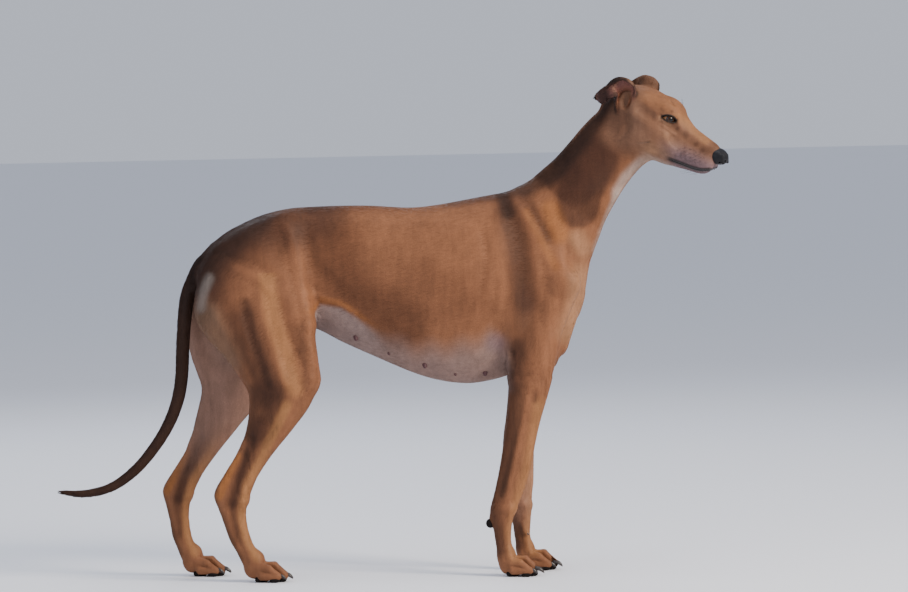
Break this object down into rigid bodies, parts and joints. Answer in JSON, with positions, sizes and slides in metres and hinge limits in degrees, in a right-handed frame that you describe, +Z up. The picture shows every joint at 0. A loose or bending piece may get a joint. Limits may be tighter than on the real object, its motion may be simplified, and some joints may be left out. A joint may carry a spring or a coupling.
{
  "type": "greyhound dog model",
  "caption": "Life-size still model of a fawn greyhound bitch, standing square on four paws with its head turned a little to the right",
  "frame": {"origin": "on the floor, under the middle of the whole length from the tip of the tail to the tip of the nose", "axes": "+X from the tail to the nose, +Y across the body to the animal's left, +Z up"},
  "size_m": [1.2343, 0.2106, 0.9036],
  "materials": {
    "coat": "short smooth fawn hair",
    "coat_dark": "short smooth sooty hair",
    "ear_skin": "thin soft skin with very short hair",
    "nose_leather": "black, pebbled and slightly moist",
    "eye": "glossy dark brown, clear and wet"
  },
  "bodies": {
    "root": {"chest": "coat", "loin": "coat", "rump": "coat", "tail_base": "coat_dark", "tail_middle": "coat_dark", "tail_tip": "coat_dark", "neck": "coat", "head": "coat", "jaw": "coat", "nose": "nose_leather", "eye_right": "eye", "eye_left": "eye", "ear_right": "ear_skin", "ear_left": "ear_skin", "thigh_right": "coat", "shank_right": "coat", "hock_right": "coat", "hindpaw_right": "coat", "thigh_left": "coat", "shank_left": "coat", "hock_left": "coat", "hindpaw_left": "coat", "forearm_right": "coat", "pastern_right": "coat", "forepaw_right": "coat", "forearm_left": "coat", "pastern_left": "coat", "forepaw_left": "coat"}
  },
  "joints": []
}
